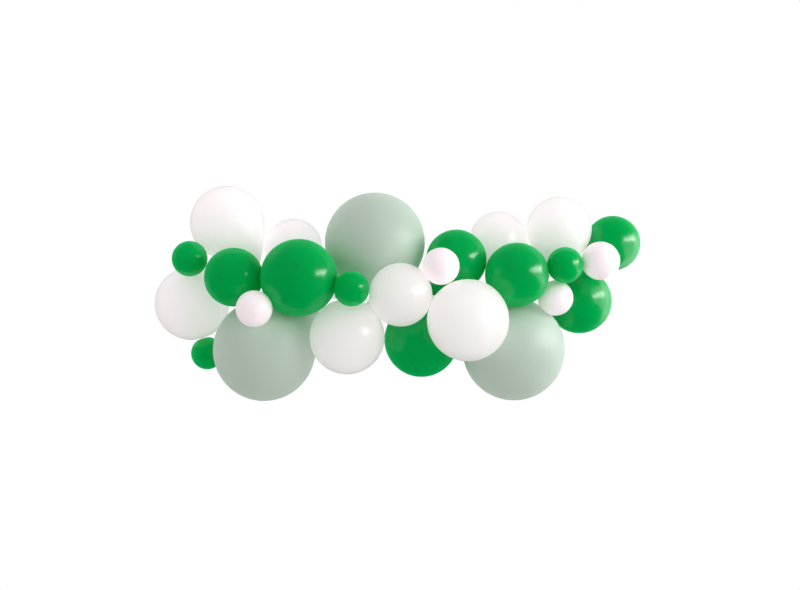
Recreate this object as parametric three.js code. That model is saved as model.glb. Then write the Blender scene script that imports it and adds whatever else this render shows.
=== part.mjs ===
// A hung garland of 26 latex balloons, in white, bright green and sage green.
// The 18 larger balloons are pulled by their necks through the holes of a clear plastic strip
// and stop there on their knots. The 8 small ones are stuck between them with clear glue dots.
// Millimetres, +X to the right as the garland is looked at, +Y away from the viewer, +Z up.
// The origin is on the back face of the strip, in its middle, where the garland is hung.

import * as THREE from 'three';
import { ConvexGeometry } from 'three/addons/geometries/ConvexGeometry.js';
import { mergeVertices } from 'three/addons/utils/BufferGeometryUtils.js';

// Driving dimensions of the strip
const stripWidth = 18;
const stripThickness = 1;
const stripLength = 1500;
const holePitch = 60;
const firstHole = 30;
const holeRadius = 5.2;
const holeSides = 8;
const holePlate = 24;
// The line up the middle of the strip's back face, from its left end to its right end
const stripRoute = [
  [-766, 49, 150], [-620, 44, 107], [-460, 32, 64], [-300, 14, 27], [-160, 3, 6],
  [-60, 0, 0], [-30, 0, 0], [30, 0, 0], [60, 0, 0],
  [150, 10, 12], [300, 36, 38], [450, 48, 70], [600, 44, 109], [730, 22, 121],
];

// Driving dimensions of a balloon's neck, knot and rolled lip, and of a glue dot
const neckSides = 6;
const neckBase = 1.1;
const neckBaseRadius = 0.085;
const shortestNeck = 10;
const approach = 12;
const gap = 0.6;
const dotRadius = 6;
const dotThickness = 1;
const dotSides = 8;
const dotGap = dotThickness + gap;
const smallTail = 0.75;
// How far behind the hole, and how wide, the neck, the knot and the lip are
const tail = [
  { past: -1.2, radius: 4.2 },
  { past: 1.2, radius: 4.2 },
  { past: 2.1, radius: 6.6 },
  { past: 8.5, radius: 6.9 },
  { past: 11, radius: 3.4 },
  { past: 17, radius: 3.6 },
  { past: 20, radius: 7 },
  { past: 21.5, radius: 6.6 },
];

// Rings of a body that is drawn out long towards its neck, and where its neck starts, in radii
const drawnOut = [
  { reach: 0.78, radius: 0.69 },
  { reach: 1, radius: 0.51 },
  { reach: 1.2, radius: 0.33 },
];
const drawnOutBase = 1.42;
const drawnOutPoints = 8;

// Angle between neighbouring points on a body, for balloons from a given width up
const facets = [
  { across: 300, angle: 17 },
  { across: 150, angle: 21 },
  { across: 0, angle: 27.5 },
];
const crownReach = 148;
const longCrownReach = 137;
const patchPoints = 8;
const patchMargin = 1.5;

const finishes = {
  white: { color: 0xf3f0f1, roughness: 0.3, metalness: 0 },
  green: { color: 0x089f49, roughness: 0.22, metalness: 0 },
  sage: { color: 0xb3ccba, roughness: 0.42, metalness: 0 },
  clear: { color: 0xe9eef0, roughness: 0.15, metalness: 0 },
};

// Each tied balloon: where the middle of its body is, its width, the hole that its neck is pulled
// through, counted from 0 at the left, and the side of the strip that its body is on. A long one
// is drawn out towards its neck, and a lean says which way where that isn't straight to the hole.
const tied = [
  { name: 'white_balloon_1', at: [-725, 76, -11], across: 256, hole: 2, side: 'back' },
  { name: 'white_balloon_2', at: [-600, 50, 269], across: 254, hole: 5, side: 'front', long: true },
  { name: 'white_balloon_3', at: [-370, 66, 184], across: 198, hole: 6, side: 'back' },
  { name: 'white_balloon_4', at: [-178, -85, -122], across: 253, hole: 11, side: 'front' },
  { name: 'white_balloon_5', at: [2, -148, 19], across: 211, hole: 13, side: 'front' },
  { name: 'white_balloon_6', at: [224, -177, -65], across: 271, hole: 16, side: 'front' },
  { name: 'white_balloon_7', at: [343, 83, 210], across: 198, hole: 18, side: 'back' },
  { name: 'white_balloon_8', at: [552, 48, 246], across: 224, hole: 21, side: 'front' },
  { name: 'green_balloon_1', at: [-559, -90, 78], across: 198, hole: 4, side: 'front' },
  { name: 'green_balloon_2', at: [-337, -130, 76], across: 258, hole: 7, side: 'front' },
  { name: 'green_balloon_3', at: [74, 36, -137], across: 256, hole: 12, side: 'back' },
  { name: 'green_balloon_4', at: [192, -22, 138], across: 207, hole: 14, side: 'front', long: true },
  { name: 'green_balloon_5', at: [395, -68, 87], across: 216, hole: 20, side: 'front' },
  { name: 'green_balloon_6', at: [632, 128, -3], across: 228, hole: 22, side: 'back' },
  { name: 'green_balloon_7', at: [743, 85, 199], across: 191, hole: 23, side: 'back' },
  { name: 'sage_balloon_1', at: [-464, -13, -170], across: 348, hole: 8, side: 'back', long: true,
    lean: [0.68, 0.42, 0.6] },
  { name: 'sage_balloon_2', at: [-87, 41, 199], across: 346, hole: 9, side: 'back' },
  { name: 'sage_balloon_3', at: [394, 52, -170], across: 354, hole: 17, side: 'front' },
];

// Each small balloon: where it is, its width, the way its neck points, and what it is glued to
const glued = [
  { name: 'small_green_balloon_1', at: [-717, -28, 142], across: 121, neck: [0, 1, 0.25],
    gluedTo: ['white_balloon_1'] },
  { name: 'small_green_balloon_2', at: [-672, 78, -185], across: 113, neck: [0, 1, 0],
    gluedTo: ['white_balloon_1', 'sage_balloon_1'] },
  { name: 'small_white_balloon_1', at: [-479, -194, -27], across: 121, neck: [0, 1, 0.3],
    gluedTo: ['sage_balloon_1'] },
  { name: 'small_green_balloon_3', at: [-160, -169, 39], across: 118, neck: [0, 1, 0],
    gluedTo: ['green_balloon_2', 'white_balloon_4'] },
  { name: 'small_white_balloon_2', at: [135, -172, 113], across: 123, neck: [-0.45, 1, -0.15],
    gluedTo: ['green_balloon_4'] },
  { name: 'small_white_balloon_3', at: [531, -17, 8], across: 121, neck: [-0.2, 1, 0.1],
    gluedTo: ['green_balloon_5', 'sage_balloon_3'] },
  { name: 'small_green_balloon_4', at: [558, -65, 119], across: 122, neck: [0, 1, -0.1],
    gluedTo: ['white_balloon_8'] },
  { name: 'small_white_balloon_4', at: [681, -45, 134], across: 131, neck: [0.15, 1, -0.45],
    gluedTo: ['green_balloon_7'] },
];

const axisZ = new THREE.Vector3(0, 0, 1);
const axisY = new THREE.Vector3(0, 1, 0);

// The points round a circle, with the first one on the first of its two unit directions
function ringPoints(centre, first, second, radius, count) {
  return Array.from({ length: count }, (_, i) => {
    const angle = (2 * Math.PI * i) / count;
    return centre.clone()
      .addScaledVector(first, radius * Math.cos(angle))
      .addScaledVector(second, radius * Math.sin(angle));
  });
}

// Two unit directions square to a third, which turns the first into the second anticlockwise
function squareTo(direction) {
  const helper = Math.abs(direction.z) < 0.9 ? axisZ : axisY;
  const first = new THREE.Vector3().crossVectors(helper, direction).normalize();
  return [first, new THREE.Vector3().crossVectors(direction, first)];
}

// A closed geometry from a list of triangles, each of three points
function geometryOf(triangles) {
  const geometry = new THREE.BufferGeometry();
  const numbers = triangles.flatMap((triangle) => triangle.flatMap((point) => point.toArray()));
  geometry.setAttribute('position', new THREE.Float32BufferAttribute(numbers, 3));
  return mergeVertices(geometry, 1e-4);
}

// The two triangles of a four-sided face
const quad = (a, b, c, d) => [[a, b, c], [a, c, d]];

// The strip's place and directions at a distance from its left end
const route = new THREE.CatmullRomCurve3(stripRoute.map((point) => new THREE.Vector3(...point)));
route.arcLengthDivisions = 2000;
const routeLength = route.getLength();

function stripAt(distance) {
  const point = route.getPointAt(distance / routeLength);
  const along = route.getTangentAt(distance / routeLength);
  const up = axisZ.clone().addScaledVector(along, -axisZ.dot(along)).normalize();
  return { point, along, up, back: new THREE.Vector3().crossVectors(up, along) };
}

const holeCount = Math.round(stripLength / holePitch);
const holeDistance = (hole) => firstHole + holePitch * hole;

// The middle of a hole, and the way out of it at the back of the strip
function holeAt(hole) {
  const { point, back } = stripAt(holeDistance(hole));
  return { centre: point.addScaledVector(back, -stripThickness / 2), back };
}

// One flat plate of the strip between two cross-sections, with a hole in it or plain
function plateTriangles(start, end, hole) {
  const from = stripAt(start);
  const to = stripAt(end);
  const place = (outline, depth) => {
    const share = (outline.x - start) / (end - start);
    const corner = (section) => section.point.clone()
      .addScaledVector(section.up, outline.y)
      .addScaledVector(section.back, depth);
    return corner(from).lerp(corner(to), share);
  };
  const half = stripWidth / 2;
  const corners = [[start, -half], [end, -half], [end, half], [start, half]];
  const outline = corners.map(([x, y]) => new THREE.Vector2(x, y));
  const holes = [];
  if (hole !== undefined) {
    holes.push(Array.from({ length: holeSides }, (_, i) => {
      const angle = (-2 * Math.PI * (i + 0.5)) / holeSides;
      return new THREE.Vector2(
        holeDistance(hole) + holeRadius * Math.cos(angle), holeRadius * Math.sin(angle));
    }));
  }
  const flat = [outline, ...holes].flat();
  const front = flat.map((point) => place(point, -stripThickness));
  const back = flat.map((point) => place(point, 0));
  const triangles = [];
  for (const [a, b, c] of THREE.ShapeUtils.triangulateShape(outline, holes)) {
    triangles.push([front[a], front[b], front[c]], [back[a], back[c], back[b]]);
  }
  const wall = (a, b) => triangles.push(...quad(front[a], back[a], back[b], front[b]));
  wall(0, 1);
  wall(2, 3);
  if (start === 0) wall(3, 0);
  if (end === stripLength) wall(1, 2);
  for (let i = 0; i < flat.length - 4; i += 1) {
    wall(4 + i, 4 + ((i + 1) % holeSides));
  }
  return triangles;
}

function stripGeometry() {
  const triangles = [];
  let start = 0;
  for (let hole = 0; hole < holeCount; hole += 1) {
    const near = holeDistance(hole) - holePlate / 2;
    const far = holeDistance(hole) + holePlate / 2;
    triangles.push(...plateTriangles(start, near));
    triangles.push(...plateTriangles(near, far, hole));
    start = far;
  }
  triangles.push(...plateTriangles(start, stripLength));
  return geometryOf(triangles);
}

// The balloons with their sizes worked out, all in one list
const balloons = [...tied, ...glued].map((balloon) => ({
  gluedTo: [],
  ...balloon,
  centre: new THREE.Vector3(...balloon.at),
  radius: balloon.across / 2,
}));
const balloonNamed = (name) => balloons.find((balloon) => balloon.name === name);
const areGlued = (a, b) => a.gluedTo.includes(b.name) || b.gluedTo.includes(a.name);

// Where two balloons press on each other both are flat, on either side of the plane that their
// spheres would share. This gives one balloon's side of it: the way to it and how far it is.
function pressOf(balloon, other) {
  const toOther = other.centre.clone().sub(balloon.centre);
  const between = toOther.length();
  const shared = (between ** 2 + balloon.radius ** 2 - other.radius ** 2) / (2 * between);
  const parted = areGlued(balloon, other) ? dotGap : gap;
  return { direction: toOther.normalize(), distance: shared - parted / 2 };
}

function pressesOf(balloon) {
  return balloons
    .filter((other) => other !== balloon)
    .map((other) => pressOf(balloon, other))
    .filter((press) => press.distance < balloon.radius);
}

// Points on the body: rows of them from the crown towards the neck, less those that a neighbour
// presses in, and a ring round each flat place
function bodyPoints(balloon, neckDirection) {
  const { radius } = balloon;
  const spacing = facets.find((facet) => balloon.across >= facet.across).angle;
  const [first, second] = squareTo(neckDirection);
  const presses = pressesOf(balloon);
  const points = [];
  const lastRow = balloon.long ? longCrownReach : crownReach;
  for (let polar = 0; polar <= lastRow; polar += spacing) {
    const angle = THREE.MathUtils.degToRad(polar);
    const row = neckDirection.clone().multiplyScalar(-radius * Math.cos(angle));
    const count = Math.max(1, Math.round((360 * Math.sin(angle)) / spacing));
    points.push(...ringPoints(row, first, second, radius * Math.sin(angle), count));
  }
  for (const ring of balloon.long ? drawnOut : []) {
    const middle = neckDirection.clone().multiplyScalar(radius * ring.reach);
    points.push(...ringPoints(middle, first, second, radius * ring.radius, drawnOutPoints));
  }
  const kept = points.filter((point) => presses.every(
    (press) => point.dot(press.direction) < press.distance - patchMargin));
  for (const press of presses) {
    const centre = press.direction.clone().multiplyScalar(press.distance);
    const patchRadius = Math.sqrt(radius ** 2 - press.distance ** 2);
    kept.push(...ringPoints(centre, ...squareTo(press.direction), patchRadius, patchPoints));
  }
  return kept;
}

// The rings of a neck, from the body to the rolled lip, about the middle of the body
function neckStations(balloon) {
  const { centre, radius } = balloon;
  let direction;
  let start;
  let away;
  const size = balloon.hole === undefined ? smallTail : 1;
  if (balloon.hole === undefined) {
    direction = new THREE.Vector3(...balloon.neck).normalize();
    away = direction;
    start = direction.clone().multiplyScalar(radius * neckBase + approach * size);
  } else {
    const hole = holeAt(balloon.hole);
    away = hole.back.clone().multiplyScalar(balloon.side === 'front' ? 1 : -1);
    start = hole.centre.clone().sub(centre);
    direction = balloon.lean === undefined
      ? start.clone().addScaledVector(away, -approach).normalize()
      : new THREE.Vector3(...balloon.lean).normalize();
  }
  const baseReach = balloon.long ? drawnOutBase : neckBase;
  const baseDistance = Math.min(radius * baseReach, start.length() - shortestNeck);
  const base = direction.clone().multiplyScalar(baseDistance);
  const entry = start.clone().addScaledVector(away, tail[0].past * size);
  const handle = base.distanceTo(entry) * 0.4;
  const bend = new THREE.CubicBezierCurve3(
    base, base.clone().addScaledVector(direction, handle),
    entry.clone().addScaledVector(away, -handle), entry);
  const stations = [{ point: base, direction, radius: radius * neckBaseRadius }];
  for (const share of balloon.hole === undefined ? [0.5] : [0.35, 0.7]) {
    const narrowing = THREE.MathUtils.lerp(radius * neckBaseRadius, tail[0].radius, share ** 0.5);
    stations.push({ point: bend.getPoint(share), direction: bend.getTangent(share), radius: narrowing });
  }
  for (const ring of tail) {
    stations.push({
      point: start.clone().addScaledVector(away, ring.past * size),
      direction: away,
      radius: ring.radius * size,
    });
  }
  return stations;
}

// A body that runs into its neck, its knot and its lip as one closed skin
function balloonGeometry(balloon) {
  const stations = neckStations(balloon);
  const base = stations[0];
  let [first, second] = squareTo(base.direction);
  const rings = stations.map((station, i) => {
    if (i > 0) {
      const turn = new THREE.Quaternion()
        .setFromUnitVectors(stations[i - 1].direction, station.direction);
      first = first.clone().applyQuaternion(turn);
      second = second.clone().applyQuaternion(turn);
    }
    return ringPoints(station.point, first, second, station.radius, neckSides);
  });
  const skin = new ConvexGeometry([...bodyPoints(balloon, base.direction), ...rings[0]]);
  const corners = skin.getAttribute('position');
  const triangles = [];
  const atBase = (point) => rings[0].some((corner) => corner.distanceTo(point) < 1e-3);
  for (let i = 0; i < corners.count; i += 3) {
    const triangle = [0, 1, 2].map((j) => new THREE.Vector3().fromBufferAttribute(corners, i + j));
    if (!triangle.every(atBase)) triangles.push(triangle);
  }
  for (let i = 1; i < rings.length; i += 1) {
    for (let j = 0; j < neckSides; j += 1) {
      const next = (j + 1) % neckSides;
      triangles.push(...quad(rings[i - 1][j], rings[i - 1][next], rings[i][next], rings[i][j]));
    }
  }
  const lip = rings[rings.length - 1];
  for (let j = 1; j < neckSides - 1; j += 1) triangles.push([lip[0], lip[j], lip[j + 1]]);
  return geometryOf(triangles);
}

const materials = {};
for (const [name, finish] of Object.entries(finishes)) {
  materials[name] = new THREE.MeshStandardMaterial({ name, ...finish });
}
const colourOf = (name) => Object.keys(finishes).find((colour) => name.includes(colour));

const garland = new THREE.Group();

const strip = new THREE.Mesh(stripGeometry(), materials.clear);
strip.name = 'balloon_strip';
garland.add(strip);

for (const balloon of balloons) {
  const mesh = new THREE.Mesh(balloonGeometry(balloon), materials[colourOf(balloon.name)]);
  mesh.name = balloon.name;
  mesh.position.copy(balloon.centre);
  garland.add(mesh);
}

let dotNumber = 1;
for (const balloon of balloons) {
  for (const name of balloon.gluedTo) {
    const press = pressOf(balloon, balloonNamed(name));
    const shape = new THREE.CylinderGeometry(dotRadius, dotRadius, dotThickness, dotSides);
    const mesh = new THREE.Mesh(shape, materials.clear);
    mesh.name = `glue_dot_${dotNumber}`;
    mesh.quaternion.setFromUnitVectors(axisY, press.direction);
    mesh.position.copy(balloon.centre)
      .addScaledVector(press.direction, press.distance + dotGap / 2);
    garland.add(mesh);
    dotNumber += 1;
  }
}

export default garland;
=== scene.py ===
import math

import bpy
import numpy as np
from mathutils import Matrix, Vector


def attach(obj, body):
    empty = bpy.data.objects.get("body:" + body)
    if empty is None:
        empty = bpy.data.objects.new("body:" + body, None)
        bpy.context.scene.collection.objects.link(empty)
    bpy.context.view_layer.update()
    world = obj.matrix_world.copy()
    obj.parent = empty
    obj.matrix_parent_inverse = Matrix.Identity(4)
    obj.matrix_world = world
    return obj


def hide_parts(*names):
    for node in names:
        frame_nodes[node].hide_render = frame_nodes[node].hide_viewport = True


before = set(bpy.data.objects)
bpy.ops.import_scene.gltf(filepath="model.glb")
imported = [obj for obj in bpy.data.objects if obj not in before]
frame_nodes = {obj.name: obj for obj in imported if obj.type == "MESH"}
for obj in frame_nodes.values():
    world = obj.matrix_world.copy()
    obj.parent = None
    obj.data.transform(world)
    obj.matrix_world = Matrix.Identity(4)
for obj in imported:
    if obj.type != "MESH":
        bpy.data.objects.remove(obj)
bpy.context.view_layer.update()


# Clear strip: a moulded plastic band that carries the balloons, 18 mm wide and 1 mm thick, with
# a round hole every 60 mm. The necks of the larger balloons are pulled through the holes, and
# the band hangs from hooks or a line at its middle and its two end holes.
strip_pitch = 0.060
strip_width = 0.018
strip_thickness = 0.001
strip_hole_radius = 0.005
strip_hole_count = 25
strip_edge_radius = 0.00025
strip_edge_angle = math.radians(50.0)
bay_join_distance = 0.00005

# In the frame, the strip's corners follow each other from left to right: 4 at its end, then for
# each hole 4 before it, 16 round it and 4 after it, then 4 at the other end. The 4 before a hole
# and the 4 after it are 24 mm apart.
corners_across = 4
corners_of_hole = 16
corners_of_bay = corners_across + corners_of_hole + corners_across
faceted_length = 0.024
route_degree = 17

# Each bay is a sheet of rings from the edge of its hole out to its own oblong edge.
bay_steps_long = 16
bay_steps_wide = 8
bay_ring_shares = [0.0, 0.12, 0.4, 1.0]


def points_of(node):
    """The places of a frame node's corners, one row each, with no place twice."""
    mesh = frame_nodes[node].data
    places = np.empty(3 * len(mesh.vertices), np.float32)
    mesh.vertices.foreach_get("co", places)
    return np.unique(places.reshape(-1, 3).astype(float).round(6), axis=0)


strip_points = points_of("balloon_strip")
strip_points = strip_points[np.argsort(strip_points[:, 0])]
strip_ends = [strip_points[:corners_across], strip_points[-corners_across:]]
strip_bays = strip_points[corners_across:-corners_across]
strip_bays = strip_bays.reshape(strip_hole_count, corners_of_bay, 3)
strip_hole_distance = strip_pitch * (np.arange(strip_hole_count) + 0.5)
strip_length = strip_pitch * strip_hole_count
known_distance = np.concatenate([
    [0.0, strip_length],
    strip_hole_distance - faceted_length / 2,
    strip_hole_distance,
    strip_hole_distance + faceted_length / 2,
])
known_place = np.concatenate([
    [end.mean(axis=0) for end in strip_ends],
    strip_bays[:, :corners_across].mean(axis=1),
    strip_bays[:, corners_across:-corners_across].mean(axis=1),
    strip_bays[:, -corners_across:].mean(axis=1),
])
strip_route = [
    np.polynomial.Chebyshev.fit(known_distance, known_place[:, axis], route_degree)
    for axis in range(3)
]


def strip_at(distance):
    """Place, up and back of the strip's middle line: place = route(distance), along = its slope
    made one long, up = Z less its share along, made one long, and back = up x along."""
    place = np.stack([line(distance) for line in strip_route], axis=-1)
    along = np.stack([line.deriv()(distance) for line in strip_route], axis=-1)
    along /= np.linalg.norm(along, axis=-1, keepdims=True)
    up = np.array([0.0, 0.0, 1.0]) - along * along[..., 2:3]
    up /= np.linalg.norm(up, axis=-1, keepdims=True)
    return place, up, np.cross(up, along)


def grid_faces(rows, columns):
    """Four-sided faces between neighbouring rows and columns of a grid of vertices, with its
    last column joined to its first: the corners are (row, column), (row, column + 1),
    (row + 1, column + 1) and (row + 1, column)."""
    row, column = np.meshgrid(np.arange(rows - 1), np.arange(columns), indexing="ij")
    right = (column + 1) % columns
    corners = [
        row * columns + column,
        row * columns + right,
        (row + 1) * columns + right,
        (row + 1) * columns + column,
    ]
    return np.stack(corners, axis=-1).reshape(-1, 4)


def strip_surface():
    """Middle surface of the strip, one bay of 60 mm round each hole: p(t, k) = (1 - t) * circle(k)
    + t * oblong(k), where circle is the hole's edge and oblong is the bay's edge, laid on the
    strip's route as route(distance + p.x) + up * p.y."""
    half_long = strip_pitch / 2
    half_wide = strip_width / 2
    long_side = np.linspace(-half_long, half_long, bay_steps_long, endpoint=False)
    wide_side = np.linspace(-half_wide, half_wide, bay_steps_wide, endpoint=False)
    oblong = np.concatenate([
        np.stack([long_side, np.full(bay_steps_long, -half_wide)], axis=1),
        np.stack([np.full(bay_steps_wide, half_long), wide_side], axis=1),
        np.stack([-long_side, np.full(bay_steps_long, half_wide)], axis=1),
        np.stack([np.full(bay_steps_wide, -half_long), -wide_side], axis=1),
    ])
    count = len(oblong)
    first_corner = -math.pi / 2 - math.pi * bay_steps_long / count
    angle = first_corner + 2 * math.pi * np.arange(count) / count
    circle = strip_hole_radius * np.stack([np.cos(angle), np.sin(angle)], axis=1)
    share = np.array(bay_ring_shares)[:, None, None]
    bay = (1 - share) * circle + share * oblong
    distance = strip_hole_distance[:, None, None] + bay[None, :, :, 0]
    place, up, _ = strip_at(np.clip(distance, 0.0, strip_length))
    vertices = place + up * bay[None, :, :, 1, None]
    one_bay = grid_faces(len(share), count)[:, ::-1]
    faces = one_bay[None] + (np.arange(strip_hole_count) * bay[..., 0].size)[:, None, None]
    return vertices.reshape(-1, 3), faces.reshape(-1, 4).tolist()


def make_piece(name, vertices, faces, material):
    """A smooth-shaded object at the origin, with its place in its mesh."""
    mesh = bpy.data.meshes.new(name)
    mesh.from_pydata(vertices.tolist(), [], faces)
    mesh.shade_smooth()
    mesh.materials.append(material)
    piece = bpy.data.objects.new(name, mesh)
    bpy.context.scene.collection.objects.link(piece)
    return piece


def new_material(name):
    """An empty material with a Principled shader: the material, its nodes and that shader."""
    material = bpy.data.materials.new(name)
    material.use_nodes = True
    tree = material.node_tree
    return material, tree, tree.nodes["Principled BSDF"]


def set_inputs(node, values):
    """Gives sockets of a node, by name or number, values of their own."""
    for socket, value in values.items():
        node.inputs[socket].default_value = value


def add_node(tree, kind, values=None, **settings):
    """A new shader node of a kind, with its settings and the values of its sockets."""
    node = tree.nodes.new("ShaderNode" + kind)
    for setting, value in settings.items():
        setattr(node, setting, value)
    set_inputs(node, values or {})
    return node


def link(tree, source, output, target, socket):
    """Joins an output of one node to a socket of another, each by name or number."""
    tree.links.new(source.outputs[output], target.inputs[socket])


# Clear plastic: bright along its edges, with faint flow marks from moulding along its length.
clear_plastic, tree, shader = new_material("clear_plastic")
set_inputs(shader, {
    "Base Color": (0.92, 0.95, 0.95, 1.0), "Roughness": 0.12, "IOR": 1.49, "Alpha": 0.35})
on_object = add_node(tree, "TexCoord")
flow_scale = add_node(tree, "Mapping", {"Scale": (12.0, 60.0, 260.0)})
flow = add_node(tree, "TexNoise", {"Scale": 1.0, "Detail": 3.0})
flow_bump = add_node(tree, "Bump", {"Distance": 0.0001, "Strength": 0.5})
link(tree, on_object, "Object", flow_scale, "Vector")
link(tree, flow_scale, "Vector", flow, "Vector")
link(tree, flow, "Fac", flow_bump, "Height")
link(tree, flow_bump, "Normal", shader, "Normal")

strip = make_piece("clear_strip", *strip_surface(), clear_plastic)
joined = strip.modifiers.new("join_bays", "WELD")
joined.merge_threshold = bay_join_distance
thickened = strip.modifiers.new("plate_thickness", "SOLIDIFY")
thickened.thickness = strip_thickness
thickened.offset = 0.0
rounded = strip.modifiers.new("moulded_edges", "BEVEL")
rounded.width = strip_edge_radius
rounded.segments = 2
rounded.limit_method = "ANGLE"
rounded.angle_limit = strip_edge_angle
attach(strip, "root")
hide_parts("balloon_strip")


# White balloons: eight of 198 to 271 mm, blown up from pearly white latex, knotted, and pulled
# by the neck through a hole of the strip until the knot stops there. Their skin is thinnest
# round the middle, and thicker and duller at the crown and towards the neck.

# Each balloon's hole, counted from the left from 0, and the side of the strip that its knot is
# on: 1 for the back and -1 for the front. Some bodies are drawn out long towards the neck, and a
# neck may have a way of its own. The green and sage balloons are added in their own sections.
tied_to_strip = {
    "white_balloon_1": (2, -1), "white_balloon_2": (5, 1), "white_balloon_3": (6, -1),
    "white_balloon_4": (11, 1), "white_balloon_5": (13, 1), "white_balloon_6": (16, 1),
    "white_balloon_7": (18, -1), "white_balloon_8": (21, 1),
}
drawn_out = ["white_balloon_2"]
own_neck_way = {}

# How far from the middle a neck starts, as a share of the body's radius, and how thick it is
# there. It points at a place 12 mm before its hole, and starts at least 10 mm before the hole.
# A small balloon's knot is where the frame's corners are more than 1.05 radii from the middle.
round_reach = 1.12
long_reach = 1.45
small_reach = 1.1
neck_share = 0.080
neck_approach = 0.012
neck_clearance = 0.010
neck_rows = 11
neck_stiffness = 0.4
neck_narrowing = 0.6
knot_begins = 1.05
small_knot_scale = 0.75
way_across_straight_neck = [0.0, 0.3, 1.0]

# How a body runs into its neck: the angle from the neck at which it leaves the circle, how
# fully it curves on, how far before the neck and how far out the curve's last handle is, all as
# shares of the radius, and how many rows the circle has for each row of the curve.
round_shoulder = (0.60, 0.30, 0.09, 0.012, 3)
long_shoulder = (1.05, 0.80, 0.05, 0.02, 2)

# The tied end, from the middle of the hole on: distances past it and radii.
hole_half_depth = 0.0012
neck_in_hole = 0.0040
knot_radius = 0.0068
knot_end = 0.0094
knot_roundness = 0.55
tail_radius = 0.0034
tail_flare = 2.6
lip_radius = 0.0061
lip_distance = 0.0203
lip_bead = 0.0009
lip_roll_angles = (-85.0, 140.0)
mouth_depth = 0.0032
hole_rows = 4
knot_rows = 16
tail_rows = 8
bead_rows = 9
mouth_rows = 6

# Unevenness: pleats that start at 0.8 of the radius, a slanting groove in the knot, a tail
# that flattens, and a lip that waves.
turn_from_one_to_the_next = 2.399
pleats_start = 0.80
pleats_at_hole = 0.6
coarse_pleat = 0.03
coarse_pleat_count = 5
fine_pleat = 0.05
fine_pleat_count = 9
knot_middle = 0.0053
knot_half_length = 0.0042
knot_lobes = 0.06
knot_twist = 500
groove_depth = 0.20
groove_width = 0.0008
groove_slant = 0.0021
tail_flatness = 0.10
tail_flattens = (0.0090, 0.0120)
lip_waves = (0.0150, 0.0200)
lip_wave_height = 0.0005
lip_wave_count = 3

# Flat places where two balloons press on each other, with the gap that is left between them,
# and the width of their soft edge as a share of the radius.
press_gap = 0.0006
glue_gap = 0.0016
press_softness = 0.045
negligible = 1e-3
unpressed = 10.0

# Thickness of the skin: 0 where it is thinnest and 1 at the knot. The angles are from the crown.
crown_thickness = 0.2
crown_angle = 0.10
thickening_angles = [2.0, 2.75, math.pi]
thickening = [0.0, 0.55, 0.9]
thickening_power = 1.5
neck_thickness = 0.9


def unit(vector):
    """A vector made one long: v / |v|."""
    return vector / np.linalg.norm(vector)


def sphere_of(node):
    """Middle and radius of the sphere that most of a frame node's surface lies on, by least
    squares: |p|^2 = 2 p . middle + rest. Each corner counts by the area of the faces round it,
    and less the further off the last answer it was."""
    mesh = frame_nodes[node].data
    places = np.empty(3 * len(mesh.vertices), np.float32)
    mesh.vertices.foreach_get("co", places)
    places = places.reshape(-1, 3).astype(float)
    mesh.calc_loop_triangles()
    corners = np.empty(3 * len(mesh.loop_triangles), np.int32)
    mesh.loop_triangles.foreach_get("vertices", corners)
    corners = corners.reshape(-1, 3)
    a, b, c = (places[corners[:, i]] for i in range(3))
    area = np.linalg.norm(np.cross(b - a, c - a), axis=1)
    weight = np.zeros(len(places))
    np.add.at(weight, corners.ravel(), np.repeat(area, 3))
    system = np.hstack([2 * places, np.ones((len(places), 1))])
    squares = (places ** 2).sum(axis=1)
    rounds = 40
    smallest_off = 1e-6
    off = np.ones(len(places))
    for _ in range(rounds):
        share = np.sqrt(weight / np.maximum(off, smallest_off))
        answer = np.linalg.lstsq(system * share[:, None], squares * share, rcond=None)[0]
        middle = answer[:3]
        radius = math.sqrt(answer[3] + middle @ middle)
        off = np.abs(np.linalg.norm(places - middle, axis=1) - radius)
    return middle, radius


balloon_names = sorted(name for name in frame_nodes if "balloon_" in name and "strip" not in name)
balloon_sphere = {name: sphere_of(name) for name in balloon_names}
balloon_middles = np.array([balloon_sphere[name][0] for name in balloon_names])
balloon_radii = np.array([balloon_sphere[name][1] for name in balloon_names])

dot_names = sorted(name for name in frame_nodes if name.startswith("glue_dot"))
glued_pairs = set()
for name in dot_names:
    to_middles = balloon_middles - points_of(name).mean(axis=0)
    clearance = np.abs(np.linalg.norm(to_middles, axis=1) - balloon_radii)
    glued_pairs.add(frozenset(balloon_names[nearest] for nearest in np.argsort(clearance)[:2]))


def presses_on(name):
    """Flat places of a balloon: for each neighbour the way to it, and how far the flat place is,
    (L^2 + r^2 - s^2) / 2L less half the gap, with radii r and s and their middles L apart."""
    middle, radius = balloon_sphere[name]
    found = []
    for other, other_middle, other_radius in zip(balloon_names, balloon_middles, balloon_radii):
        between = np.linalg.norm(other_middle - middle)
        if other == name or between > radius + other_radius + glue_gap:
            continue
        parted = glue_gap if frozenset((name, other)) in glued_pairs else press_gap
        shared = (between ** 2 + radius ** 2 - other_radius ** 2) / (2 * between)
        found.append(((other_middle - middle) / between, shared - parted / 2))
    return found


def pressed_in(skin, name):
    """The skin of a body with its flat places: a point's distance from the middle is cut to
    flat / cos(angle to the neighbour), and the two distances run together over a soft edge as
    min(a, b) - s * (1 - |a - b| / s)^2 / 4."""
    distance = np.linalg.norm(skin, axis=-1)
    softness = press_softness * balloon_sphere[name][1]
    pressed = distance
    for way, flat in presses_on(name):
        facing = (skin @ way) / distance
        limit = np.where(facing > negligible, flat / np.maximum(facing, negligible), unpressed)
        overlap = np.maximum(softness - np.abs(pressed - limit), 0.0) / softness
        pressed = np.minimum(pressed, limit) - overlap ** 2 * softness / 4
    return skin * (pressed / distance)[..., None]


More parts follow.
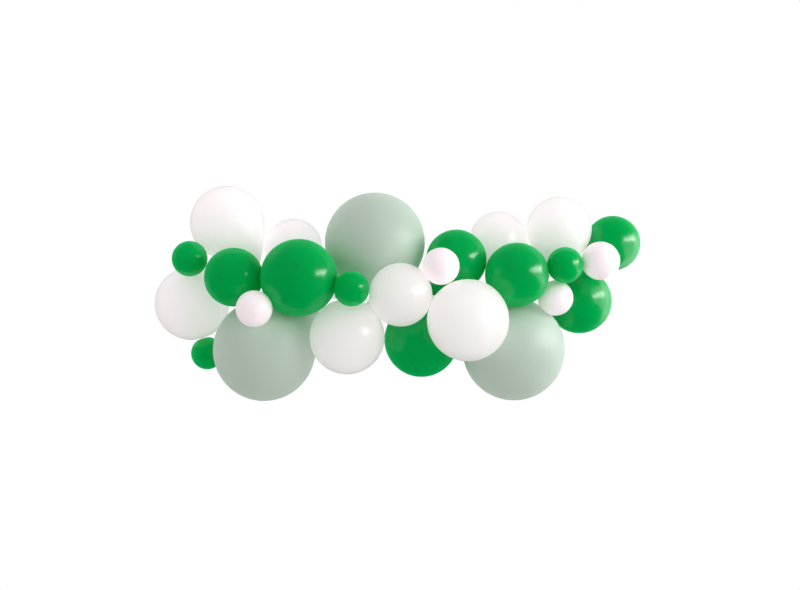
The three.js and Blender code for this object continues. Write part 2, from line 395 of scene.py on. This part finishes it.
def bezier(start, start_handle, end_handle, end, share):
    """Cubic Bezier curve: (1-s)^3 a + 3 (1-s)^2 s b + 3 (1-s) s^2 c + s^3 d."""
    s = share[:, None]
    r = 1 - s
    return r**3 * start + 3 * r**2 * s * start_handle + 3 * r * s**2 * end_handle + s**3 * end


def body_profile(radius, reach, rows, form):
    """Distance towards the neck and distance from the axis, from the crown to the neck: a circle
    as far as the shoulder, then a Bezier curve that leaves it smoothly and ends at the neck."""
    shoulder, fullness, handle_before, handle_out, rows_for_one = form
    polar = np.linspace(0.0, math.pi - shoulder, rows)
    ball = radius * np.stack([-np.cos(polar), np.sin(polar)], axis=1)
    slope = np.array([math.sin(shoulder), -math.cos(shoulder)])
    neck = np.array([reach, radius * neck_share])
    last_handle = neck + radius * np.array([-handle_before, handle_out])
    share = np.linspace(0.0, 1.0, rows // rows_for_one)[1:]
    slide = bezier(ball[-1], ball[-1] + fullness * radius * slope, last_handle, neck, share)
    return np.concatenate([ball, slide])


def tail_profile():
    """Distance past the hole and radius, from the hole to the bottom of the mouth: the neck in
    the hole, the knot as a power of a sine, the short tail that widens by a power of its length,
    the rolled lip as part of a circle, and the mouth inside it."""
    hole = np.stack([
        np.linspace(-hole_half_depth, hole_half_depth, hole_rows),
        np.full(hole_rows, neck_in_hole),
    ], axis=1)
    u = np.linspace(0.0, 1.0, knot_rows + 1)[1:]
    bulge = np.sin(math.pi * u).clip(0.0, 1.0) ** knot_roundness
    knot = np.stack([
        hole_half_depth + u * (knot_end - hole_half_depth),
        neck_in_hole + u * (tail_radius - neck_in_hole) + (knot_radius - neck_in_hole) * bulge,
    ], axis=1)
    v = np.linspace(0.0, 1.0, tail_rows + 1)[1:]
    tail = np.stack([
        knot_end + v * (lip_distance - lip_bead - knot_end),
        tail_radius + (lip_radius - tail_radius) * v ** tail_flare,
    ], axis=1)
    roll = np.radians(np.linspace(*lip_roll_angles, bead_rows))
    bead = np.stack([
        lip_distance + lip_bead * np.sin(roll), lip_radius + lip_bead * np.cos(roll)], axis=1)
    w = np.linspace(0.0, 1.0, mouth_rows + 1)[1:]
    mouth = np.stack([
        bead[-1, 0] - mouth_depth * np.sin(math.pi / 2 * w), bead[-1, 1] * (1 - w)], axis=1)
    return np.concatenate([hole, knot, tail, bead, mouth])


def neck_of(name):
    """Where a neck goes, from the middle of its body: the way that it leaves the body and how
    far, the place and the way in which it goes through its hole, and the scale of its knot. A
    small balloon has no hole, and its neck goes straight on."""
    middle, radius = balloon_sphere[name]
    if name not in tied_to_strip:
        corners = points_of(name) - middle
        on_knot = np.linalg.norm(corners, axis=1) > knot_begins * radius
        direction = unit(corners[on_knot].mean(axis=0))
        reach = radius * small_reach
        start = direction * (reach + neck_approach * small_knot_scale)
        return direction, reach, start, direction, small_knot_scale
    hole, side_of_strip = tied_to_strip[name]
    place, _, back = strip_at(np.array(strip_hole_distance[hole]))
    away = back * side_of_strip
    start = place - middle
    direction = unit(np.array(own_neck_way.get(name, start - away * neck_approach)))
    longest = radius * (long_reach if name in drawn_out else round_reach)
    reach = min(longest, np.linalg.norm(start) - neck_clearance)
    return direction, reach, start, away, 1.0


def ring_shape(pleated, past, angle, turn):
    """Share of its radius that a ring has at each angle: 1 + pleats * how pleated the ring is
    + knot * (lobes - groove) + tail * (cos(2 angle) - 1), where past is the distance past the
    hole, and -1 before it."""
    pleats = fine_pleat * np.cos(fine_pleat_count * angle + turn)
    pleats += coarse_pleat * np.cos(coarse_pleat_count * angle + 2 * turn)
    in_knot = np.clip(1 - np.abs(past - knot_middle) / knot_half_length, 0.0, 1.0) ** 0.5
    lobes = knot_lobes * np.cos(2 * angle + knot_twist * past[:, None] + turn)
    slant = past[:, None] - knot_middle - groove_slant * np.cos(angle + turn)
    groove = groove_depth * np.exp(-(slant / groove_width) ** 2)
    in_tail = np.interp(past, tail_flattens, [0.0, 1.0])
    flattened = tail_flatness * (np.cos(2 * angle + turn) - 1.0)
    return (
        1.0
        + pleated[:, None] * pleats
        + in_knot[:, None] * (lobes - groove)
        + in_tail[:, None] * flattened
    )


def ring_thickness(body, tail):
    """Thickness of the skin for each ring: c * exp(-(a / w)^2) for the crown, and a power of a
    line for the thickening towards the neck, with a the angle from the crown."""
    from_middle = np.maximum(np.hypot(*body.T), 1e-9)
    angle = np.arccos(np.clip(-body[:, 0] / from_middle, -1, 1))
    on_body = crown_thickness * np.exp(-(angle / crown_angle) ** 2)
    on_body += np.interp(angle, thickening_angles, thickening) ** thickening_power
    on_neck = np.linspace(neck_thickness, 1.0, neck_rows)
    return np.concatenate([on_body, on_neck, np.ones(len(tail))])


def ring_faces(rows, columns):
    """Faces of a closed skin of rings, whose two poles come after the last ring's vertices."""
    column = np.arange(columns)
    after = (column + 1) % columns
    first_pole = np.full(columns, rows * columns)
    last_ring = (rows - 1) * columns
    first_fan = np.stack([first_pole, after, column], axis=1)
    last_fan = np.stack([first_pole + 1, last_ring + column, last_ring + after], axis=1)
    return grid_faces(rows, columns).tolist() + first_fan.tolist() + last_fan.tolist()


def balloon_surface(name, rows, around):
    """Skin of a balloon as rings along a path from its crown to the bottom of its mouth:
    p(row, angle) = path(row) + radius(row, angle) * (cos(angle) * side + sin(angle) * other).
    Its vertices, its faces, and the thickness of the skin at each vertex."""
    middle, radius = balloon_sphere[name]
    turn = turn_from_one_to_the_next * balloon_names.index(name)
    direction, reach, start, away, scale = neck_of(name)
    form = long_shoulder if name in drawn_out else round_shoulder
    body = body_profile(radius, reach, rows, form)
    tail = tail_profile() * scale

    neck_start = direction * reach
    neck_end = start + away * tail[0, 0]
    handle = neck_stiffness * np.linalg.norm(neck_end - neck_start)
    share = np.linspace(0.0, 1.0, neck_rows + 2)[1:-1]
    bend = bezier(
        neck_start, neck_start + direction * handle, neck_end - away * handle, neck_end, share)
    bend_slope = np.gradient(np.vstack([neck_start, bend, neck_end]), axis=0)[1:-1]
    bend_slope /= np.linalg.norm(bend_slope, axis=1, keepdims=True)
    bend_radius = tail[0, 1] + (body[-1, 1] - tail[0, 1]) * (1 - share ** neck_narrowing)

    path = np.vstack([body[:, :1] * direction, bend, start + tail[:, :1] * away])
    slope = np.vstack([
        np.repeat(direction[None], len(body), axis=0), bend_slope,
        np.repeat(away[None], len(tail), axis=0)])
    ring_radius = np.concatenate([body[:, 1], bend_radius, tail[:, 1]])
    across_bend = np.cross(direction, away)
    if np.linalg.norm(across_bend) < negligible:
        across_bend = np.cross(direction, way_across_straight_neck)
    side = unit(across_bend)
    side = side - (slope @ side)[:, None] * slope
    side /= np.linalg.norm(side, axis=1, keepdims=True)
    other = np.cross(slope, side)

    angle = 2 * math.pi * np.arange(around) / around
    onset = np.interp(body[:, 0], [pleats_start * radius, reach], [0.0, 1.0])
    easing = np.linspace(1.0, pleats_at_hole, neck_rows)
    pleated = np.concatenate([onset ** 2, easing, np.zeros(len(tail))])
    past = np.concatenate([np.full(len(body) + neck_rows, -1.0), tail[:, 0] / scale])
    ring = ring_radius[:, None] * ring_shape(pleated, past, angle, turn)
    vertices = (
        path[:, None, :]
        + (ring * np.cos(angle))[..., None] * side[:, None, :]
        + (ring * np.sin(angle))[..., None] * other[:, None, :]
    )
    at_lip = np.interp(past, lip_waves, [0.0, 1.0])
    wave = lip_wave_height * scale * np.cos(lip_wave_count * angle + turn)
    vertices += (at_lip[:, None] * wave)[..., None] * away
    vertices[:len(body)] = pressed_in(vertices[:len(body)], name)
    vertices += middle

    poles = [vertices[0].mean(axis=0), vertices[-1].mean(axis=0)]
    thickness = np.repeat(ring_thickness(body, tail)[1:-1], around)
    thickness = np.append(thickness, [crown_thickness, 1.0])
    rings = vertices[1:-1]
    return np.vstack([rings.reshape(-1, 3), poles]), ring_faces(len(rings), around), thickness


def make_balloon(name, rows, around, finish):
    """One balloon that stands for the frame's node of that name, with the thickness of its skin
    kept for its finish."""
    vertices, faces, thickness = balloon_surface(name, rows, around)
    balloon = make_piece(name + "_skin", vertices, faces, finish)
    kept = balloon.data.attributes.new("skin_thickness", "FLOAT", "POINT")
    kept.data.foreach_set("value", thickness.astype(np.float32))
    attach(balloon, "root")
    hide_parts(name)


# Latex skin, for all the latex finishes: cloudy thinner and thicker areas some centimetres wide,
# the thick crown and neck, fine grain, and slow waves that bend the reflections a little.
duller_where_thick = 0.18
grain_weight = 0.05
wave_weight = 6.0

# The colour sockets of a Mix node, which share their names with its other sockets.
mix_first = 6
mix_second = 7
mix_result = 2

latex_skin = bpy.data.node_groups.new("latex_skin", "ShaderNodeTree")
skin_sockets = [
    ("Thin Colour", "INPUT", "NodeSocketColor"),
    ("Thick Colour", "INPUT", "NodeSocketColor"),
    ("Roughness", "INPUT", "NodeSocketFloat"),
    ("Cloudiness", "INPUT", "NodeSocketFloat"),
    ("Colour", "OUTPUT", "NodeSocketColor"),
    ("Roughness", "OUTPUT", "NodeSocketFloat"),
    ("Height", "OUTPUT", "NodeSocketFloat"),
]
for socket_name, direction, socket_type in skin_sockets:
    latex_skin.interface.new_socket(socket_name, in_out=direction, socket_type=socket_type)

given = latex_skin.nodes.new("NodeGroupInput")
result = latex_skin.nodes.new("NodeGroupOutput")
on_object = add_node(latex_skin, "TexCoord")
skin_thickness = add_node(latex_skin, "Attribute", attribute_name="skin_thickness")
clouds = add_node(latex_skin, "TexNoise", {"Scale": 14.0, "Detail": 3.0, "Roughness": 0.55})
cloud_share = add_node(latex_skin, "Math", operation="MULTIPLY")
depth_of_colour = add_node(latex_skin, "Math", operation="ADD", use_clamp=True)
colour_mix = add_node(latex_skin, "Mix", data_type="RGBA")
link(latex_skin, on_object, "Object", clouds, "Vector")
link(latex_skin, clouds, "Fac", cloud_share, 0)
link(latex_skin, given, "Cloudiness", cloud_share, 1)
link(latex_skin, cloud_share, "Value", depth_of_colour, 0)
link(latex_skin, skin_thickness, "Fac", depth_of_colour, 1)
link(latex_skin, depth_of_colour, "Value", colour_mix, "Factor")
link(latex_skin, given, "Thin Colour", colour_mix, mix_first)
link(latex_skin, given, "Thick Colour", colour_mix, mix_second)
link(latex_skin, colour_mix, mix_result, result, "Colour")

dulling = add_node(latex_skin, "Math", {1: duller_where_thick}, operation="MULTIPLY_ADD")
link(latex_skin, depth_of_colour, "Value", dulling, 0)
link(latex_skin, given, "Roughness", dulling, 2)
link(latex_skin, dulling, "Value", result, "Roughness")

grain = add_node(latex_skin, "TexNoise", {"Scale": 900.0, "Detail": 2.0})
grain_height = add_node(latex_skin, "Math", {1: grain_weight}, operation="MULTIPLY")
waves = add_node(latex_skin, "TexNoise", {"Scale": 22.0, "Detail": 1.0})
wave_height = add_node(latex_skin, "Math", {1: wave_weight}, operation="MULTIPLY_ADD")
link(latex_skin, on_object, "Object", grain, "Vector")
link(latex_skin, grain, "Fac", grain_height, 0)
link(latex_skin, on_object, "Object", waves, "Vector")
link(latex_skin, waves, "Fac", wave_height, 0)
link(latex_skin, grain_height, "Value", wave_height, 2)
link(latex_skin, wave_height, "Value", result, "Height")


def latex(name, thin, thick, roughness, edge_dulling, cloudiness, gloss, spread, reach, glow):
    """A latex finish: its colour where thin and thick, how dull it is, how much duller seen
    edge on, how cloudy, how much it mirrors, the share of the light that spreads inside where
    the skin is thin and how far it gets, and its glow: a painted emission that only diffuse rays
    meet, so that the balloon lights its neighbours in place of the light that would come through
    it."""
    material, tree, shader = new_material(name)
    set_inputs(shader, {
        "IOR": 1.52, "Specular IOR Level": gloss, "Subsurface Radius": (1.0, 1.0, 1.0),
        "Subsurface Scale": reach, "Emission Strength": 1.0})

    skin = add_node(tree, "Group", node_tree=latex_skin)
    set_inputs(skin, {
        "Thin Colour": (*thin, 1.0), "Thick Colour": (*thick, 1.0),
        "Roughness": roughness, "Cloudiness": cloudiness})
    bump = add_node(tree, "Bump", {"Distance": 0.0001, "Strength": 0.6})
    link(tree, skin, "Colour", shader, "Base Color")
    link(tree, skin, "Height", bump, "Height")
    link(tree, bump, "Normal", shader, "Normal")

    edge_on = add_node(tree, "LayerWeight", {"Blend": 0.5})
    edge_dullness = add_node(
        tree, "MapRange", {"From Min": 0.25, "From Max": 0.85, "To Max": edge_dulling},
        interpolation_type="SMOOTHSTEP")
    dullness = add_node(tree, "Math", operation="ADD")
    link(tree, edge_on, "Facing", edge_dullness, "Value")
    link(tree, edge_dullness, "Result", dullness, 0)
    link(tree, skin, "Roughness", dullness, 1)
    link(tree, dullness, "Value", shader, "Roughness")

    thickness = add_node(tree, "Attribute", attribute_name="skin_thickness")
    spread_share = add_node(
        tree, "Math", {1: -spread, 2: spread}, operation="MULTIPLY_ADD", use_clamp=True)
    link(tree, thickness, "Fac", spread_share, 0)
    link(tree, spread_share, "Value", shader, "Subsurface Weight")

    # Painted glow: the balloon emits this colour to diffuse rays only, so it lights its neighbours
    # and lightens their shade, though it is no lamp.
    ray_kind = add_node(tree, "LightPath")
    through = add_node(tree, "Mix", data_type="RGBA")
    set_inputs(through, {mix_first: (0.0, 0.0, 0.0, 1.0), mix_second: (*glow, 1.0)})
    link(tree, ray_kind, "Is Diffuse Ray", through, "Factor")
    link(tree, through, mix_result, shader, "Emission Color")
    return material


# Each finish's glow below is painted light: an emission that only diffuse rays see, which lightens
# the shade on the neighbouring balloons.
white_latex = latex(
    "white_latex", thin=(0.925, 0.85, 0.875), thick=(0.88, 0.81, 0.83), roughness=0.28,
    edge_dulling=0.05, cloudiness=0.30, gloss=0.45, spread=0.88, reach=0.80,
    glow=(0.34, 0.31, 0.32))
for number in range(1, 9):
    make_balloon(
        f"white_balloon_{number}", rows=56, around=84, finish=white_latex)


# Green balloons: seven of 191 to 258 mm, of glossy latex dyed clear green, tied as the white
# ones are. Windows and lamps show sharply in them, and more dully towards their outline.
tied_to_strip.update({
    "green_balloon_1": (4, 1), "green_balloon_2": (7, 1), "green_balloon_3": (12, -1),
    "green_balloon_4": (14, 1), "green_balloon_5": (20, 1), "green_balloon_6": (22, -1),
    "green_balloon_7": (23, -1),
})
drawn_out.append("green_balloon_4")
green_latex = latex(
    "green_latex", thin=(0.0, 0.36, 0.075), thick=(0.0, 0.24, 0.046), roughness=0.14,
    edge_dulling=0.60, cloudiness=0.35, gloss=0.2, spread=1.0, reach=0.12,
    glow=(0.03, 0.18, 0.06))
for number in range(1, 8):
    make_balloon(
        f"green_balloon_{number}", rows=56, around=84, finish=green_latex)


# Sage balloons: three of about 350 mm, of pastel latex with a dull satin face, tied as the
# others are. The first leans away from its hole, and its neck bends back to it.
tied_to_strip.update({
    "sage_balloon_1": (8, -1), "sage_balloon_2": (9, -1), "sage_balloon_3": (17, 1),
})
drawn_out.append("sage_balloon_1")
own_neck_way["sage_balloon_1"] = (0.68, 0.42, 0.60)
sage_latex = latex(
    "sage_latex", thin=(0.45, 0.57, 0.482), thick=(0.37, 0.48, 0.40), roughness=0.46,
    edge_dulling=0.45, cloudiness=0.25, gloss=0.25, spread=0.35, reach=0.12,
    glow=(0.14, 0.19, 0.15))
for number in range(1, 4):
    make_balloon(
        f"sage_balloon_{number}", rows=66, around=96, finish=sage_latex)


# Small balloons: four white and four green ones of about 125 mm, of the same latex, knotted and
# stuck between the larger ones with clear glue dots. The white ones are blown up less, so their
# skin is thicker and whiter, and less light spreads inside; part of their extra lightness is
# painted, a lighter copy of the white finish that makes up for the shade they sit in between the
# larger balloons.
small_white_latex = latex(
    "small_white_latex", thin=(0.97, 0.905, 0.925), thick=(0.92, 0.86, 0.88), roughness=0.28,
    edge_dulling=0.05, cloudiness=0.30, gloss=0.45, spread=0.15, reach=0.12,
    glow=(0.34, 0.31, 0.32))
for number in range(1, 5):
    make_balloon(
        f"small_white_balloon_{number}", rows=44, around=64, finish=small_white_latex)
for number in range(1, 5):
    make_balloon(
        f"small_green_balloon_{number}", rows=44, around=64, finish=green_latex)


# Glue dots: discs of clear soft adhesive, 12 mm wide and 1 mm thick, pressed between a small
# balloon and the one that it sits on.
dot_radius = 0.006
dot_half_thickness = 0.0005
dot_inner_share = 0.35
dot_rim_share = 0.09
dot_unevenness = 0.02
dot_turn = 90
dot_rim_rows = 7


def dot_surface(name):
    """A disc with a rounded rim: p(row, angle) = middle + r(row) * (1 - u - u cos(3 angle + turn))
    * (cos(angle) * first + sin(angle) * second) + h(row) * normal."""
    around = 32
    points = points_of(name)
    middle = points.mean(axis=0)
    first, second, normal = np.linalg.svd(points - middle)[2]
    angle = 2 * math.pi * np.arange(around) / around
    rim = np.radians(np.linspace(90.0, -90.0, dot_rim_rows))
    rim_reach = 1 - dot_rim_share + dot_rim_share * np.cos(rim)
    reach = np.concatenate([[dot_inner_share], rim_reach, [dot_inner_share]]) * dot_radius
    height = np.concatenate([[1.0], np.sin(rim), [-1.0]]) * dot_half_thickness
    uneven = 1 - dot_unevenness * (1 + np.cos(3 * angle + points[0, 0] * dot_turn))
    out = reach[:, None] * uneven
    vertices = (
        middle
        + (out * np.cos(angle))[..., None] * first
        + (out * np.sin(angle))[..., None] * second
        + height[:, None, None] * normal
    )
    poles = [middle + dot_half_thickness * normal, middle - dot_half_thickness * normal]
    faces = ring_faces(len(reach), around)
    if np.dot(np.cross(first, second), normal) > 0:
        faces = [face[::-1] for face in faces]
    return np.vstack([vertices.reshape(-1, 3), poles]), faces


clear_glue, tree, shader = new_material("clear_glue")
set_inputs(shader, {
    "Base Color": (0.93, 0.93, 0.90, 1.0), "Roughness": 0.2, "IOR": 1.45, "Alpha": 0.5})
on_object = add_node(tree, "TexCoord")
dimples = add_node(tree, "TexNoise", {"Scale": 500.0})
dimple_bump = add_node(tree, "Bump", {"Distance": 0.0001})
link(tree, on_object, "Object", dimples, "Vector")
link(tree, dimples, "Fac", dimple_bump, "Height")
link(tree, dimple_bump, "Normal", shader, "Normal")
for name in dot_names:
    dot = make_piece(name + "_soft", *dot_surface(name), clear_glue)
    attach(dot, "root")
    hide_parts(name)


# Studio floor: a flat white disc 1.3 m below the strip. The camera sees it pure white, and the
# balloons mirror it only faintly.
floor_height = -1.30
floor_radius = 7.0
floor_middle_share = 0.05
floor_rows = 8
white = (1.0, 1.0, 1.0, 1.0)


def floor_surface():
    """A flat disc of rings round a middle face: p(row, angle) = r(row) * (cos angle, sin angle)."""
    around = 64
    angle = 2 * math.pi * np.arange(around) / around
    reach = np.linspace(floor_middle_share, 1.0, floor_rows) * floor_radius
    x = reach[:, None] * np.cos(angle)
    y = reach[:, None] * np.sin(angle)
    z = np.full_like(x, floor_height)
    vertices = np.stack([x, y, z], axis=-1).reshape(-1, 3)
    faces = grid_faces(len(reach), around)[:, ::-1].tolist()
    return vertices, faces + [list(range(around))]


floor_finish, tree, shader = new_material("white_floor")
set_inputs(shader, {
    "Base Color": (0.70, 0.69, 0.69, 1.0), "Roughness": 0.9, "Specular IOR Level": 0.0})
seen_white = add_node(tree, "Emission", {"Color": white, "Strength": 1.0})
dim_floor = add_node(tree, "BsdfDiffuse", {"Color": (0.03, 0.03, 0.03, 1.0)})
ray_kind = add_node(tree, "LightPath")
glossy_mix = add_node(tree, "MixShader")
camera_mix = add_node(tree, "MixShader")
link(tree, ray_kind, "Is Glossy Ray", glossy_mix, "Fac")
link(tree, shader, "BSDF", glossy_mix, 1)
link(tree, dim_floor, "BSDF", glossy_mix, 2)
link(tree, ray_kind, "Is Camera Ray", camera_mix, "Fac")
link(tree, glossy_mix, "Shader", camera_mix, 1)
link(tree, seen_white, "Emission", camera_mix, 2)
link(tree, camera_mix, "Shader", tree.nodes["Material Output"], "Surface")
floor = make_piece("floor", *floor_surface(), floor_finish)


# Studio surroundings: white where the camera sees them, brighter behind the garland than in
# front of it, and faint in the balloons' reflections.
world = bpy.data.worlds.new("white_surroundings")
world.use_nodes = True
bpy.context.scene.world = world
tree = world.node_tree
background = tree.nodes["Background"]
set_inputs(background, {"Color": (1.0, 0.94, 0.957, 1.0)})
all_round = add_node(tree, "TexCoord")
parts = add_node(tree, "SeparateXYZ")
front_to_back = add_node(
    tree, "MapRange", {"From Min": -0.6, "From Max": 0.6, "To Min": 0.86, "To Max": 1.36})
link(tree, all_round, "Generated", parts, "Vector")
link(tree, parts, "Y", front_to_back, "Value")
link(tree, front_to_back, "Result", background, "Strength")
seen_background = add_node(tree, "Background", {"Color": white, "Strength": 1.0})
dim_background = add_node(tree, "Background", {"Strength": 0.03})
ray_kind = add_node(tree, "LightPath")
glossy_mix = add_node(tree, "MixShader")
camera_mix = add_node(tree, "MixShader")
link(tree, ray_kind, "Is Glossy Ray", glossy_mix, "Fac")
link(tree, background, "Background", glossy_mix, 1)
link(tree, dim_background, "Background", glossy_mix, 2)
link(tree, ray_kind, "Is Camera Ray", camera_mix, "Fac")
link(tree, glossy_mix, "Shader", camera_mix, 1)
link(tree, seen_background, "Background", camera_mix, 2)
link(tree, camera_mix, "Shader", tree.nodes["World Output"], "Surface")


def soft_light(name, at, towards, width, height, brightness, roll=0.0):
    """An oblong area light of a given brightness (radiance) that faces a point: its power is
    brightness * pi * width * height."""
    data = bpy.data.lights.new(name, "AREA")
    data.shape = "RECTANGLE"
    data.size = width
    data.size_y = height
    data.energy = brightness * math.pi * width * height
    light = bpy.data.objects.new(name, data)
    facing = (Vector(towards) - Vector(at)).to_track_quat("-Z", "Y")
    light.matrix_world = (
        Matrix.Translation(at) @ facing.to_matrix().to_4x4() @ Matrix.Rotation(roll, 4, "Z"))
    bpy.context.scene.collection.objects.link(light)
    return light


# Studio lights: the soft light of a far window from the front right, which lights the balloons.
# They mirror a nearer window with a bright pane, and a pale card with a bright edge at the right
# end, which light nothing.
garland_middle = (0.0, 0.0, 0.1)
card_roll = math.radians(-21.0)
window_light = soft_light(
    "window_light", at=(6.4, -1.9, 1.6), towards=garland_middle, width=6.0, height=2.1,
    brightness=5.5)
window_light.visible_glossy = False
mirrored_lights = [
    soft_light(
        "window", at=(3.2, -0.95, 0.85), towards=garland_middle, width=3.0, height=1.05,
        brightness=5.0),
    soft_light(
        "bright_pane", at=(3.1, -0.90, 0.80), towards=garland_middle, width=2.9, height=0.55,
        brightness=14.0),
    soft_light(
        "pale_card", at=(1.00, -0.030, 0.105), towards=(0.023, -0.246, 0.105), width=1.25,
        height=0.42, brightness=3.4, roll=card_roll),
    soft_light(
        "card_edge", at=(0.995, -0.02, -0.125), towards=(0.018, -0.236, -0.125), width=0.80,
        height=0.012, brightness=9.0, roll=card_roll),
]
for light in mirrored_lights:
    light.visible_diffuse = False


# The view: straight on to the garland and level with its middle, from 4.5 m away, so that one
# pixel of the 800 pixel wide picture is 3.45 mm at the depth of the middle of the balloons.
view_distance = 4.5
view_depth = 0.026
view_height = 0.018
pixel_size = 0.00345
picture_width = 800
sensor_width = 36.0

camera_data = bpy.data.cameras.new("front_view")
camera_data.sensor_width = sensor_width
camera_data.lens = sensor_width * view_distance / (pixel_size * picture_width)
camera = bpy.data.objects.new("front_view", camera_data)
camera.location = (0.0, view_depth - view_distance, view_height)
camera.rotation_euler = (math.radians(90.0), 0.0, 0.0)
bpy.context.scene.collection.objects.link(camera)
bpy.context.scene.camera = camera
bpy.context.scene.view_settings.view_transform = "Standard"
